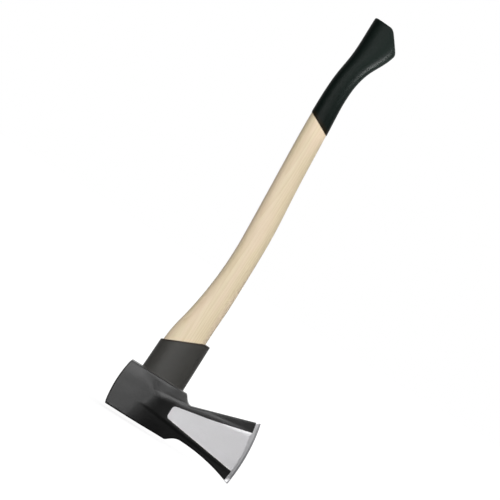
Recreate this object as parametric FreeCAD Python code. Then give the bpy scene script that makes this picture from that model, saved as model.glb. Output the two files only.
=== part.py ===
"""Splitting maul: forged head, wooden handle, overstrike guard, dipped grip and the two wedges in the eye.

Millimetres. +Z runs up the handle from the head's underside, +X points to the cutting edge,
and the part is the same on both sides of the XZ plane. The origin is the middle of the eye's
lower mouth, on the head's flat underside.
"""

import FreeCAD, Part
import math
import os

from FreeCAD import Vector

# ---- Head: the block with the poll and the eye ----
block_height = 75.0             # underside to the top of the eye block
poll_reach = 54.5               # eye axis back to the poll's corners
poll_crown = 3.8                # the striking face stands out this far at its middle
poll_half_width = 27.5
cheek_half_width = 28.5         # the block beside the eye
cheek_back = -26.0              # the cheeks are parallel from here
cheek_front = -7.0              # to here, where the block begins to narrow to its nose
nose_half_width = 15.6          # the block at the front end of its top
cheek_bend_radius = 60.0        # soft bends of the cheeks, seen from above
corner_radius = 2.0             # soft corners of the block in side view
poll_chamfer = 2.5              # along the upright edges of the striking face

# ---- Head: the blade in side view ----
edge_reach = 167.0              # eye axis to the foremost point of the edge
edge_radius = 270.0             # the edge is one arc in side view
edge_peak = 31.5                # height of the arc's foremost point
heel_rise = 20.5                # upper corner of the edge, above the block
toe_drop = 6.8                  # lower corner of the edge, below the underside
nose_top = 42.8                 # the block's top ends here
nose_top_slope = 54.5           # and falls to the throat at this angle
throat_x = 52.8                 # where that fall meets the blade's upper line
throat_radius = 10.0
nose_bottom = 49.5              # the underside ends here
hollow_x = 62.7                 # the lower nose meets the blade's lower line
hollow_height = 10.6
hollow_radius = 24.0
hollow_sag = 4.8                # the lower line arches this far above its chord

# ---- Head: the raised wedge, which carries the ground flats ----
wedge_sink = 0.3                # its back lies this far under the cheeks' surface
wedge_front = 3.0               # and here it begins to run down to the flats
blade_start = 34.0              # rear end of the ground flats
flat_half_thickness = 20.2      # the wedge at the rear end of the flats
flat_edge_half_thickness = 1.5  # and at the foremost point of the edge
ridge_top_fall = 19.3           # upper ridge below the block's top, where it crosses the eye axis
ridge_top_slope = 8.3           # it rises to the front at this angle
ridge_low_height = 28.0         # lower ridge where it crosses the eye axis
ridge_low_slope = 6.2           # it falls to the front at this angle
shoulder_slope = 38.0           # above and below the ridges the wedge falls away at this angle

# ---- Head: the flanges above and below the wedge, out to the blade's rims ----
flange_half_thickness = 15.9    # at the rear end of the flats
flange_edge_half_thickness = 1.1

# ---- Head: cutting bevels, both worked round the arc of the edge ----
hone_width = 2.7
hone_half_angle = 24.0
bit_half_angle = 17.0

# ---- Eye: wider at the underside, so that the spread tenon can't pull out ----
eye_top_half_length = 30.5
eye_top_half_width = 14.0
eye_bottom_half_length = 33.0
eye_bottom_half_width = 15.5
eye_strips = 4                  # the eye's wall is ruled in this many strips

# ---- Handle: sections above the eye ----
# How far up from the head to the handle's end, then the back, front and half thickness there.
handle_sections = (
    (0.040, -31.2, 29.2, 14.6),
    (0.080, -31.0, 28.0, 14.9),
    (0.120, -28.4, 27.0, 14.8),
    (0.160, -23.2, 27.2, 14.4),
    (0.200, -18.6, 28.3, 14.0),
    (0.265, -13.6, 28.6, 13.6),
    (0.345, -11.3, 28.0, 13.3),
    (0.433, -13.4, 26.2, 13.2),
    (0.521, -16.6, 21.4, 13.1),
    (0.617, -20.2, 16.8, 13.0),
    (0.698, -22.8, 13.4, 12.9),
    (0.762, -23.7, 10.3, 12.9),
    (0.813, -23.3, 9.7, 13.0),
    (0.851, -21.2, 12.8, 13.4),
    (0.883, -18.4, 19.4, 14.1),
    (0.916, -16.9, 29.8, 14.9),
    (0.944, -16.8, 36.0, 15.3),
    (0.973, -17.0, 37.4, 15.4),
)
oval_fullness = 2.35            # 2 is an ellipse, more is squarer
oval_points = 12                # each oval runs smoothly through this many points
long_strip = 30.0               # the handle is ruled in strips no longer than this
short_strip = 9.0               # and this where the form turns quickly or another piece ends on it
handle_length = 698.7           # underside to the back of the knob's end, bare wood
knob_length = 102.7             # the handle begins to swell to its knob this far from its end
end_fall = 3.8                  # the knob's end leans this many degrees to the front
knob_edge_radius = 3.0
knob_edge_steps = 3             # the rounding round the end is ruled in this many strips
facet_top = 11.9                # the slanted facet would reach the full length here
facet_slope = 52.3              # the facet falls to the toe at this angle

# ---- Grip: a thin coat dipped over the end of the handle ----
coat_thickness = 0.8
grip_length = 181.2             # from the handle's end down to the dip line on the eye axis
dip_slope = 27.2                # the line rises to the back at this angle

# ---- Overstrike guard: a moulded sleeve standing on the head ----
guard_back = 36.2
guard_front = 35.0
guard_half_width = 20.5
guard_back_taper = 2.7          # the back leans in this much over the rim height
guard_side_taper = 1.2
guard_height = 76.4             # flat crest of the rim at the front, above the head
guard_rim_fall = 11.6           # the slanted rim is this much lower where it crosses the eye axis
guard_rim_slope = 23.9          # it rises to the front at this angle
guard_foot = 1.2                # the sleeve flares out this much where it stands on the head
guard_foot_height = 2.5
guard_fit = 0.1                 # clearance round the handle

# ---- Wedges in the tenon ----
kerf_depth = 56.0
kerf_width = 2.0
wedge_length = 50.0
wedge_mouth = 5.6               # thickness of the wooden wedge at the end grain
ring_radius = 11.0
ring_wall = 3.2
ring_length = 28.0
ring_tip_wall = 0.9
ring_sink = 0.6                 # the ring is driven this far below the end grain

# Cutting bodies reach past everything that they cut.
far = 2 * edge_reach


def tan(degrees):
    return math.tan(math.radians(degrees))


def polygon(points):
    """A closed straight-sided wire."""
    return Part.makePolygon(list(points) + [points[0]])


def arc(first, middle, last):
    return Part.Arc(first, middle, last).toShape()


def line(first, last):
    return Part.LineSegment(first, last).toShape()


def slab(edges, direction):
    """The closed outline pushed out evenly to both sides of its own plane."""
    face = Part.Face(Part.Wire(edges))
    face.translate(direction * -0.5)
    return face.extrude(direction)


def beyond_plane(point, normal):
    """The space in front of a plane through the point, on the side that the normal points to."""
    box = Part.makeBox(2 * far, 2 * far, 2 * far, Vector(-far, -far, 0))
    box.Placement = FreeCAD.Placement(point, FreeCAD.Rotation(Vector(0, 0, 1), normal))
    return box


def above_slope(point, fall):
    """The space above a plane through the point that falls to the front at this angle."""
    return beyond_plane(point, Vector(tan(fall), 0, 1))


def oval(z, back, front, half_width):
    """A smooth closed section of the handle: a superellipse from back to front."""
    middle = (front + back) / 2
    half_length = (front - back) / 2
    power = 2 / oval_fullness
    points = []
    for step in range(oval_points):
        turn = 2 * math.pi * step / oval_points
        c, s = math.cos(turn), math.sin(turn)
        x = middle + half_length * math.copysign(abs(c) ** power, c)
        y = half_width * math.copysign(abs(s) ** power, s)
        points.append(Vector(x, y, z))
    curve = Part.BSplineCurve()
    curve.interpolate(Points=points, PeriodicFlag=True)
    return Part.Wire(curve.toShape())


# ---------------------------------------------------------------- head

edge_centre = Vector(edge_reach - edge_radius, 0, edge_peak)
heel_height = block_height + heel_rise


def on_edge(z):
    """The point of the cutting edge at height z."""
    rise = z - edge_peak
    return Vector(edge_centre.x + math.sqrt(edge_radius ** 2 - rise ** 2), 0, z)


heel = on_edge(heel_height)
toe = on_edge(-toe_drop)
throat = Vector(throat_x, 0, block_height - (throat_x - nose_top) * tan(nose_top_slope))
hollow = Vector(hollow_x, 0, hollow_height)


def side_profile():
    """The head seen from the side, as a slab wider than the head."""
    low_back = Vector(-poll_reach, 0, 0)
    high_back = Vector(-poll_reach, 0, block_height)
    crown = Vector(-poll_reach - poll_crown, 0, block_height / 2)
    top_nose = Vector(nose_top, 0, block_height)
    low_nose = Vector(nose_bottom, 0, 0)
    arch = (hollow + toe) * 0.5 + Vector(0, 0, hollow_sag)
    edges = [
        line(low_nose, low_back),
        arc(low_back, crown, high_back),
        line(high_back, top_nose),
        line(top_nose, throat),
        line(throat, heel),
        arc(heel, on_edge((heel_height - toe_drop) / 2), toe),
        arc(toe, arch, hollow),
        line(hollow, low_nose),
    ]
    body = slab(edges, Vector(0, far, 0))

    def upright_edges(*corners):
        """The slab's straight edges that stand on these corners of the outline."""
        return [
            edge for edge in body.Edges
            if any(edge.distToShape(Part.Vertex(corner))[0] < 1e-6 for corner in corners)
            and abs(edge.tangentAt(edge.FirstParameter).y) > 0.99
        ]

    body = body.makeFillet(corner_radius, upright_edges(low_back, high_back, top_nose))
    body = body.makeFillet(corner_radius, upright_edges(low_nose))
    body = body.makeFillet(throat_radius, upright_edges(throat))
    return body.makeFillet(hollow_radius, upright_edges(hollow))


def plan_prism(side, bends=()):
    """A tall prism with this outline on both sides of the middle plane, its bends at these x
    rounded. Seen from above, the side runs from back to front."""
    points = [Vector(x, half, 0) for x, half in side]
    other = [Vector(p.x, -p.y, 0) for p in reversed(points)]
    body = slab(polygon(points + other).Edges, Vector(0, 0, far))
    edges = [
        edge for edge in body.Edges
        if edge.Length > 0.99 * far and any(abs(edge.CenterOfMass.x - x) < 0.01 for x in bends)
    ]
    return body.makeFillet(cheek_bend_radius, edges) if edges else body


def eye_block():
    """Poll, cheeks and the two lugs that narrow to the nose. It ends inside the flanges."""
    narrowing = (cheek_half_width - nose_half_width) / (nose_top - cheek_front)
    buried_half_width = nose_half_width - narrowing * (throat_x - nose_top)
    return plan_prism([
        (-poll_reach - 2 * poll_crown, poll_half_width),
        (cheek_back, cheek_half_width),
        (cheek_front, cheek_half_width),
        (throat_x, buried_half_width),
    ], bends=(cheek_back, cheek_front))


def raised_wedge():
    """Cheeks that run down to the two flats, with a shoulder above and below on both sides."""
    wedge = plan_prism([
        (cheek_back, cheek_half_width - wedge_sink),
        (wedge_front, cheek_half_width - wedge_sink),
        (blade_start, flat_half_thickness),
        (edge_reach, flat_edge_half_thickness),
    ], bends=(wedge_front,))
    taper = (flat_half_thickness - flat_edge_half_thickness) / (edge_reach - blade_start)
    ridges = (
        (block_height - ridge_top_fall, tan(ridge_top_slope), tan(shoulder_slope)),
        (ridge_low_height, -tan(ridge_low_slope), -tan(shoulder_slope)),
    )
    shoulders = []
    for height, rise, fall in ridges:
        for side in (1, -1):
            on_ridge = Vector(blade_start, side * flat_half_thickness, height + rise * blade_start)
            normal = Vector(taper - fall * rise, side, fall)
            shoulders.append(beyond_plane(on_ridge, normal))
    return wedge.cut(shoulders)


def flanges():
    """The thinner wedge that reaches the blade's upper and lower rims."""
    taper = (flange_half_thickness - flange_edge_half_thickness) / (edge_reach - blade_start)
    return plan_prism([
        (cheek_front, flange_half_thickness + taper * (blade_start - cheek_front)),
        (edge_reach, flange_edge_half_thickness),
    ])


def poll_cutters():
    """What the chamfers take off the upright edges of the crowned striking face."""
    low = Vector(-poll_reach, poll_half_width - poll_chamfer, -corner_radius)
    high = Vector(-poll_reach, poll_half_width - poll_chamfer, block_height + corner_radius)
    crown = Vector(-poll_reach - poll_crown, low.y, block_height / 2)
    behind = Vector(-2 * (poll_crown + poll_chamfer), 0, 0)
    outline = [line(low, low + behind), line(low + behind, high + behind), line(high + behind, high),
               arc(high, crown, low)]
    cutter = Part.Face(Part.Wire(outline)).extrude(Vector(2 * poll_chamfer, 2 * poll_chamfer, 0))
    return [cutter, cutter.mirror(Vector(0, 0, 0), Vector(0, 1, 0))]


def edge_bevels():
    """A lens turned about the centre of the edge's arc: it gives the bit and its honed edge."""
    hone = hone_width * tan(hone_half_angle)
    inside = edge_radius - hone_width
    middle = hone + inside * tan(bit_half_angle)
    half = [Vector(edge_radius, 0, 0), Vector(inside, hone, 0), Vector(0, middle, 0)]
    other = [Vector(p.x, -p.y, 0) for p in reversed(half[1:])]
    lens = Part.Face(polygon(half + other)).revolve(Vector(0, 0, 0), Vector(0, 1, 0), 360)
    lens.translate(edge_centre)
    return lens


def eye():
    """The tapered space that the tenon fills."""
    sections = []
    for step in range(eye_strips + 1):
        rise = step / eye_strips
        length = eye_bottom_half_length + (eye_top_half_length - eye_bottom_half_length) * rise
        width = eye_bottom_half_width + (eye_top_half_width - eye_bottom_half_width) * rise
        sections.append(oval(block_height * rise, -length, length, width))
    return Part.makeLoft(sections, True, True)


def make_head():
    body = eye_block().fuse([raised_wedge(), flanges()]).common(side_profile())
    body = body.cut(poll_cutters()).common(edge_bevels()).removeSplitter()
    return body.cut(eye())


# -------------------------------------------------------------- handle

guard_top = block_height + guard_height
dip_height = handle_length - grip_length
free_length = handle_length - block_height
handle_rows = [(block_height, -eye_top_half_length, eye_top_half_length, eye_top_half_width)]
handle_rows += [(block_height + share * free_length, *sizes) for share, *sizes in handle_sections]

# Back, front and half thickness together, as one smooth curve over the height.
handle_curve = Part.BSplineCurve()
handle_curve.interpolate(
    Points=[Vector(back, front, half) for _, back, front, half in handle_rows],
    Parameters=[z for z, _, _, _ in handle_rows],
)


def handle_at(z):
    """Back, front and half thickness of the handle at height z."""
    return tuple(handle_curve.value(z))


def strip_heights():
    """Heights of the handle's sections, from the top of the head to the last row of the table."""
    back, front, _ = handle_at(dip_height)
    stops = (
        (block_height, short_strip),
        (guard_top, long_strip),
        (dip_height - front * tan(dip_slope), short_strip),
        (dip_height - back * tan(dip_slope) + short_strip, long_strip),
        (handle_length - knob_length, short_strip),
        (handle_rows[-1][0], short_strip),
    )
    heights = [block_height]
    for (low, strip), (high, _) in zip(stops, stops[1:]):
        count = math.ceil((high - low) / strip)
        heights += [low + (high - low) * (step + 1) / count for step in range(count)]
    return heights


def wooden_core(grow=0.0):
    """The handle's form above the head, swelled by grow all round, down to the facet of its knob."""
    sections = []
    for z in strip_heights():
        back, front, half = handle_at(z)
        sections.append(oval(z, back - grow, front + grow, half + grow))
    _, back, front, half = handle_rows[-1]
    end = handle_length + grow / math.cos(math.radians(end_fall))
    radius = knob_edge_radius + grow
    for step in range(knob_edge_steps + 1):
        turn = math.pi / 2 * step / knob_edge_steps
        inset = radius * (1 - math.cos(turn)) - grow
        section = oval(end - radius * (1 - math.sin(turn)), back + inset, front - inset, half - inset)
        section.rotate(Vector(back, 0, end), Vector(0, 1, 0), end_fall)
        sections.append(section)
    facet = Vector(facet_top, 0, handle_length + grow / math.cos(math.radians(facet_slope)))
    return Part.makeLoft(sections, True, True).cut(above_slope(facet, facet_slope))


def wedge_blank(length, tip_width):
    """A flat wedge through the whole eye, thick at the end grain."""
    corners = [
        Vector(0, -wedge_mouth / 2, 0),
        Vector(0, wedge_mouth / 2, 0),
        Vector(0, tip_width / 2, length),
        Vector(0, -tip_width / 2, length),
    ]
    return slab(polygon(corners).Edges, Vector(far, 0, 0))


def make_ring_wedge():
    """A ring with a thin leading rim, driven into the end grain."""
    tip = ring_sink + ring_length
    profile = polygon([
        Vector(ring_radius - ring_wall, 0, ring_sink),
        Vector(ring_radius, 0, ring_sink),
        Vector(ring_radius, 0, tip),
        Vector(ring_radius - ring_tip_wall, 0, tip),
    ])
    return Part.Face(profile).revolve(Vector(0, 0, 0), Vector(0, 0, 1), 360)


def ring_path():
    """The ring's groove, with the mouth that it leaves behind it in the end grain."""
    mouth = Part.makeCylinder(ring_radius, ring_sink).cut(
        Part.makeCylinder(ring_radius - ring_wall, ring_sink))
    return make_ring_wedge().fuse(mouth)


def make_handle(core):
    tenon = eye()
    whole = core.fuse(tenon).removeSplitter()
    return whole.cut([wedge_blank(kerf_depth, kerf_width), ring_path()])


def make_wooden_wedge():
    """It fills the kerf across the whole eye, and ends short of the kerf's bottom."""
    above_tip = above_slope(Vector(0, 0, wedge_length), 0)
    blank = wedge_blank(kerf_depth, kerf_width).common(eye())
    return blank.cut([above_tip, ring_path()])


# ---------------------------------------------------------------- grip

def make_grip_coating(core):
    """The coat is the swelled handle above the dip line, less the wood."""
    dipped = above_slope(Vector(0, 0, dip_height), dip_slope)
    return wooden_core(coat_thickness).common(dipped).cut(core)


# --------------------------------------------------------------- guard

def make_guard():
    """A tapered sleeve on the head, cut to its slanted rim and opened for the handle."""
    def section(z, flare=0.0):
        share = (z - block_height) / guard_height
        return oval(z, -guard_back + guard_back_taper * share - flare, guard_front + flare,
                    guard_half_width - guard_side_taper * share + flare)

    ankle = block_height + guard_foot_height
    strips = math.ceil((guard_top - ankle) / short_strip)
    sections = [section(block_height, guard_foot)]
    sections += [section(ankle + (guard_top - ankle) * step / strips) for step in range(strips + 1)]
    above_rim = above_slope(Vector(0, 0, guard_top - guard_rim_fall), -guard_rim_slope)
    return Part.makeLoft(sections, True, True).cut([above_rim, wooden_core(guard_fit)])


def main():
    core = wooden_core()
    parts = {
        "head": make_head(),
        "handle": make_handle(core),
        "wooden_wedge": make_wooden_wedge(),
        "ring_wedge": make_ring_wedge(),
        "overstrike_guard": make_guard(),
        "grip_coating": make_grip_coating(core),
    }
    os.makedirs("parts", exist_ok=True)
    for name, shape in parts.items():
        solids = shape.Solids
        whole = solids[0] if len(solids) == 1 else shape
        whole.exportStep(f"parts/{name}.step")
        box = whole.optimalBoundingBox()
        print(f"{name}: {len(solids)} solid(s), valid {whole.isValid()}, {whole.Volume / 1000:.1f} cm3")
        print(f"    x {box.XMin:.1f}..{box.XMax:.1f}, y {box.YMin:.1f}..{box.YMax:.1f},"
              f" z {box.ZMin:.1f}..{box.ZMax:.1f}")


main()
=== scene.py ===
# %% [markdown]
# # A splitting maul, dressed in Blender
#
# A maul is a heavy wedge on a long handle. The CAD model already holds every piece at its real
# size: the forged head, the wooden handle, the sleeve that guards the handle just above the head,
# the coat that the grip is dipped in, and the two wedges that lock the tenon in the eye.
# This notebook loads that model as a fixed frame and gives each piece its surface and finish.
# Lengths are worked out in millimetres and turned into metres when a mesh is made.

# %% The fixed frame
import math

import bmesh
import bpy
import numpy as np
from mathutils import Matrix, Vector


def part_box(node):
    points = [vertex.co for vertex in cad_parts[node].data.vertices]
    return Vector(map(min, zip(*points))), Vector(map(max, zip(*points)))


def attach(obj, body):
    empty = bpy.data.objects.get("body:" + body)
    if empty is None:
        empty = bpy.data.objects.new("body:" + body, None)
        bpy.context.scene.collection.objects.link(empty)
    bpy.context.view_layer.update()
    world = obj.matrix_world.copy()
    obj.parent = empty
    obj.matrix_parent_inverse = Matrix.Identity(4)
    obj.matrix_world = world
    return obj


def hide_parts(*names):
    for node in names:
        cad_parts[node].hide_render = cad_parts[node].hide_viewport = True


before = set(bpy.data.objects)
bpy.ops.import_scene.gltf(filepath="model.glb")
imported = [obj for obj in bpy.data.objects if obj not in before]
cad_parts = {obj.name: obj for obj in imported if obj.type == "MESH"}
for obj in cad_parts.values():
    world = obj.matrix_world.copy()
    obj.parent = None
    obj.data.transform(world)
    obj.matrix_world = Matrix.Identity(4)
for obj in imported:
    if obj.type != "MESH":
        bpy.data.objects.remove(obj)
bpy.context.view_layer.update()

MM = 0.001


def cad_box_mm(node):
    """Lowest and highest corner of a CAD node, in millimetres."""
    low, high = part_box(node)
    return np.array(low) / MM, np.array(high) / MM


def into_scene(name, data):
    """A new object of the scene."""
    thing = bpy.data.objects.new(name, data)
    bpy.context.scene.collection.objects.link(thing)
    return thing


head_low, head_high = cad_box_mm("head")
guard_low, guard_high = cad_box_mm("overstrike_guard")
coat_top = cad_box_mm("grip_coating")[1][2]
print("head", head_low.round(1), head_high.round(1), "- the coat ends at", round(coat_top, 1))

# %% [markdown]
# ## The camera
#
# The camera comes first, because everything else is judged through it. The tool is seen square
# from its side through a very long lens, so nothing converges, and the camera is rolled so that
# the handle leans to the right. It looks along its own -Z, so its axes are right, up and back.

# %% Camera
LENS_DISTANCE = 6.0  # metres
SEEN_WIDTH = 0.7447  # metres across the picture at the tool
ROLL = math.atan2(0.5321, 0.8467)
LOOK_AT = Vector((0.0079, 0.0, 0.3063))

camera = into_scene("camera", bpy.data.cameras.new("camera"))
right = Vector((math.cos(ROLL), 0.0, math.sin(ROLL)))
up = Vector((-math.sin(ROLL), 0.0, math.cos(ROLL)))
back = right.cross(up)
camera.matrix_world = Matrix.Translation(LOOK_AT + LENS_DISTANCE * back) @ Matrix(
    (right, up, back)).transposed().to_4x4()
camera.data.lens = camera.data.sensor_width * LENS_DISTANCE / SEEN_WIDTH
camera.data.clip_end = 100.0
bpy.context.scene.camera = camera
print("lens of", round(camera.data.lens), "mm")

# %% [markdown]
# ## Helpers for shaders
#
# A material is a small graph of nodes, and so is the world. One helper adds a node, sets its
# sockets, and links any socket whose value is another node's output.

# %% Shader helpers
class Graph:
    """A graph of shader nodes, of a material or of the world."""

    def __init__(self, tree):
        self.tree = tree
        tree.nodes.clear()

    def plug(self, socket, value):
        """Links another node's output to the socket, or writes a plain value on it."""
        if isinstance(value, bpy.types.NodeSocket):
            self.tree.links.new(value, socket)
        else:
            socket.default_value = value

    def add(self, kind, settings=None, **sockets):
        """Adds a node. A socket is given by its name, or as i0, i1 ... by its number."""
        node = self.tree.nodes.new(kind)
        for key, value in (settings or {}).items():
            setattr(node, key, value)
        for key, value in sockets.items():
            numbered = key[0] == "i" and key[1:].isdigit()
            self.plug(node.inputs[int(key[1:]) if numbered else key.replace("_", " ")], value)
        return node

    def math(self, operation, a, b=0.0, c=0.0):
        """One operation on up to three numbers or patterns."""
        return self.add("ShaderNodeMath", {"operation": operation}, i0=a, i1=b, i2=c).outputs[0]

    def step(self, value, low, high, out_low=0.0, out_high=1.0):
        """Goes smoothly from out_low at low to out_high at high."""
        return self.add("ShaderNodeMapRange", {"interpolation_type": "SMOOTHSTEP"},
                        i0=value, i1=low, i2=high, i3=out_low, i4=out_high).outputs[0]

    def rays(self, *kinds):
        """1 for a ray of any of these kinds, and 0 for any other."""
        path = self.add("ShaderNodeLightPath").outputs
        found = path[kinds[0]]
        for kind in kinds[1:]:
            found = self.math("MAXIMUM", found, path[kind])
        return found


class Shader(Graph):
    """A material's graph with one Principled BSDF at its end."""

    def __init__(self, name):
        self.material = bpy.data.materials.new(name)
        self.material.use_nodes = True
        super().__init__(self.material.node_tree)
        self.surface = self.add("ShaderNodeBsdfPrincipled")
        self.output = self.add("ShaderNodeOutputMaterial", Surface=self.surface.outputs["BSDF"])

    def blend(self, share, a, b):
        """The colour a at a share of 0 and b at a share of 1."""
        return self.add("ShaderNodeMix", {"data_type": "RGBA"}, i0=share, i6=a, i7=b).outputs[2]

    def place(self, scale=(1.0, 1.0, 1.0), location=(0.0, 0.0, 0.0), rotation=(0.0, 0.0, 0.0)):
        """Object coordinates in millimetres, moved, turned and stretched for one pattern."""
        coordinates = self.add("ShaderNodeTexCoord").outputs["Object"]
        in_mm = self.add("ShaderNodeMapping", Vector=coordinates, Scale=(1 / MM,) * 3)
        return self.add("ShaderNodeMapping", {"vector_type": "POINT"}, Vector=in_mm.outputs[0],
                        Location=location, Rotation=rotation, Scale=scale).outputs[0]

    def noise(self, place, scale, detail=2.0, roughness=0.5):
        """A cloudy pattern from 0 to 1, with about so many lumps to the millimetre."""
        return self.add("ShaderNodeTexNoise", Vector=place, Scale=scale, Detail=detail,
                        Roughness=roughness).outputs["Fac"]

    def attribute(self, name):
        """A number that each point of the mesh carries."""
        return self.add("ShaderNodeAttribute", {"attribute_name": name}).outputs["Fac"]

    def bump(self, height, distance, strength=1.0, under=None):
        """Turns a height of 0 to 1 into a relief of so many millimetres."""
        sockets = {"Height": height, "Distance": distance * MM, "Strength": strength}
        if under is not None:
            sockets["Normal"] = under
        return self.add("ShaderNodeBump", **sockets).outputs[0]

    def finish(self, **sockets):
        """Sets the Principled sockets: numbers on the socket itself, patterns by a link."""
        for key, value in sockets.items():
            self.plug(self.surface.inputs[key.replace("_", " ")], value)
        return self.material


def rgb(red, green, blue):
    """A screen colour of 0 to 255 as the linear colour that a shader works in."""
    screen = np.array([red, green, blue]) / 255
    linear = np.where(screen <= 0.04045, screen / 12.92, ((screen + 0.055) / 1.055) ** 2.4)
    return (*[float(v) for v in linear], 1.0)


print("anthracite as a linear colour", [round(v, 4) for v in rgb(66, 66, 66)])

# %% [markdown]
# ## Floor and light
#
# The tool stands head down on a plain white floor in a white studio. A dark satin paint shows
# hardly any shade of its own: what models it is the lamps that it mirrors. The key stands beside
# the camera, a little to the left and above, and its light is gathered on the head, so it fades
# up the handle. A face square to the camera mirrors the key, a face that leans back a little
# mirrors the wide lamp above, and a face turned further away mirrors neither and is dark. A small
# kicker low on the right lights only the flare of the knob, and a fill stands behind. The
# background is white for the camera and in mirrors, darkening only on the camera's side of the
# room, and the light that it throws on the tool stays moderate. The floor glows, a little less
# near the tool, and its own shading is added, so that the tool's shadow stays on it.

# %% The room
WHITE = (1.0, 1.0, 1.0, 1.0)
WORLD_LIGHT = 0.22  # the grey light that the world throws on the tool
DIM_SIDE = 0.03  # what mirrors see of the room on the camera's side
OVERHEAD = 0.7  # how far the bright part of the room leans over the tool
DARK_END, BRIGHT_END = -0.2, 0.8  # the room brightens between these leaning directions


def make_world():
    """A white background for the camera. Mirrors see it too, dimmer on the camera's side of the
    room, and all other rays gather the plain grey light."""
    world = bpy.data.worlds.new("studio")
    bpy.context.scene.world = world
    world.use_nodes = True
    graph = Graph(world.node_tree)

    def background(strength):
        return graph.add("ShaderNodeBackground", Color=WHITE, Strength=strength).outputs[0]

    def either(share, first, second):
        return graph.add("ShaderNodeMixShader", i0=share, i1=first, i2=second).outputs[0]

    direction = graph.add("ShaderNodeTexCoord").outputs["Generated"]
    axes = graph.add("ShaderNodeSeparateXYZ", Vector=direction).outputs
    leaning = graph.math("MULTIPLY_ADD", axes["Z"], OVERHEAD, axes["Y"])
    room = graph.step(leaning, DARK_END, BRIGHT_END, DIM_SIDE, 1.0)
    mirrored = either(graph.rays("Is Glossy Ray", "Is Transmission Ray"),
                      background(WORLD_LIGHT), background(room))
    seen = either(graph.rays("Is Camera Ray"), mirrored, background(1.0))
    graph.add("ShaderNodeOutputWorld", Surface=seen)


make_world()
print("the world lights the tool with", WORLD_LIGHT)

# %% The floor
FLOOR_REACH = 30.0  # metres from the middle to each side
FLOOR_DARK = 0.03  # the part of the floor's white that is lit for all rays
FLOOR_SHADE = 0.16  # and what is added for the camera, so that a shadow shows
FLOOR_GLOW = 0.88  # the glow near the tool
GLOW_NEAR, GLOW_FAR = 800.0, 3000.0  # it grows to full white between these distances
MIRRORED_FROM, MIRRORED_TO = 0.0, 1200.0  # in a mirror it brightens this far behind the tool


def make_floor(height):
    """A white sheet: seen directly or in a mirror it glows, and its own shading is added. Its
    mirrored glow dims on the camera's side, as the room's does."""
    mesh = bpy.data.meshes.new("floor")
    corners = [(x * FLOOR_REACH, y * FLOOR_REACH, height)
               for x, y in ((-1, -1), (1, -1), (1, 1), (-1, 1))]
    mesh.from_pydata(corners, [], [(0, 1, 2, 3)])
    floor = into_scene("floor", mesh)
    shader = Shader("floor")
    camera_ray = shader.rays("Is Camera Ray")
    mirror_ray = shader.rays("Is Glossy Ray", "Is Transmission Ray")
    shade = shader.math("MULTIPLY_ADD", camera_ray, FLOOR_SHADE, FLOOR_DARK)
    grey = shader.add("ShaderNodeCombineColor", i0=shade, i1=shade, i2=shade).outputs[0]
    shader.finish(Base_Color=grey, Roughness=0.9, Specular_IOR_Level=0.0)
    spot = shader.place()
    behind = shader.add("ShaderNodeSeparateXYZ", Vector=spot).outputs["Y"]
    mirrored = shader.step(behind, MIRRORED_FROM, MIRRORED_TO, DIM_SIDE * FLOOR_GLOW, FLOOR_GLOW)
    mirrored = shader.math("MULTIPLY", mirrored, mirror_ray)
    away = shader.add("ShaderNodeVectorMath", {"operation": "LENGTH"}, i0=spot).outputs["Value"]
    seen = shader.step(away, GLOW_NEAR, GLOW_FAR, FLOOR_GLOW, 1.0)
    glow = shader.math("MAXIMUM", shader.math("MULTIPLY", camera_ray, seen), mirrored)
    lit = shader.add("ShaderNodeEmission", Color=WHITE, Strength=glow)
    both = shader.add("ShaderNodeAddShader", i0=shader.surface.outputs[0], i1=lit.outputs[0])
    shader.plug(shader.output.inputs["Surface"], both.outputs[0])
    mesh.materials.append(shader.material)


make_floor(head_low[2] * MM)
print("the floor lies at", round(head_low[2], 1))

# %% Lamps
def add_lamp(name, azimuth, elevation, distance, size, power, target=(0.0, 0.0, 0.3), spread=180):
    """A soft lamp, width by height in metres, that faces its target. The azimuth is measured from
    the camera's side, positive towards the cutting edge. A spread below 180 degrees gathers the
    light."""
    side, height = math.radians(azimuth), math.radians(elevation)
    away = Vector((math.sin(side) * math.cos(height), -math.cos(side) * math.cos(height),
                   math.sin(height)))
    lamp = into_scene(name, bpy.data.lights.new(name, "AREA"))
    lamp.data.shape, lamp.data.energy = "RECTANGLE", power
    lamp.data.size, lamp.data.size_y = size
    lamp.data.spread = math.radians(spread)
    lamp.visible_camera = False
    lamp.location = Vector(target) + distance * away
    lamp.rotation_euler = (-away).to_track_quat("-Z", "Y").to_euler()
    return lamp


key = add_lamp("key", azimuth=-12.0, elevation=8.0, distance=3.24, size=(1.5, 1.2), power=6.1,
               target=(0.05, 0.0, 0.05), spread=60)
top = add_lamp("top", azimuth=22, elevation=37, distance=5.0, size=(4.3, 2.15), power=167.0)
kicker = add_lamp("kicker", azimuth=56, elevation=-24, distance=1.1, size=(0.16, 0.16), power=0.2,
                  target=(0.015, 0.0, 0.665), spread=12)
fill = add_lamp("fill", azimuth=140, elevation=40, distance=3.0, size=(1.6, 1.6), power=40.0)

view = bpy.context.scene.view_settings
view.view_transform = "Standard"
print("lamps", [lamp.name for lamp in (key, top, fill, kicker)])

# %% [markdown]
# ## Curves and skins in numpy
#
# Two ideas carry the whole model. A side line is a straight line that turns at a few bends, and
# each bend is rounded by a short parabola. A skin is a grid of points: each row is a ring round
# the piece, the rows follow one another along it, and neighbours are joined by quads.

# %% Curve helpers
def ramp(distance, reach):
    """0 before the bend and the distance after it, joined by a parabola from -reach to +reach."""
    eased = (distance + reach) ** 2 / (4 * reach)
    return np.where(distance <= -reach, 0.0, np.where(distance >= reach, distance, eased))


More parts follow.
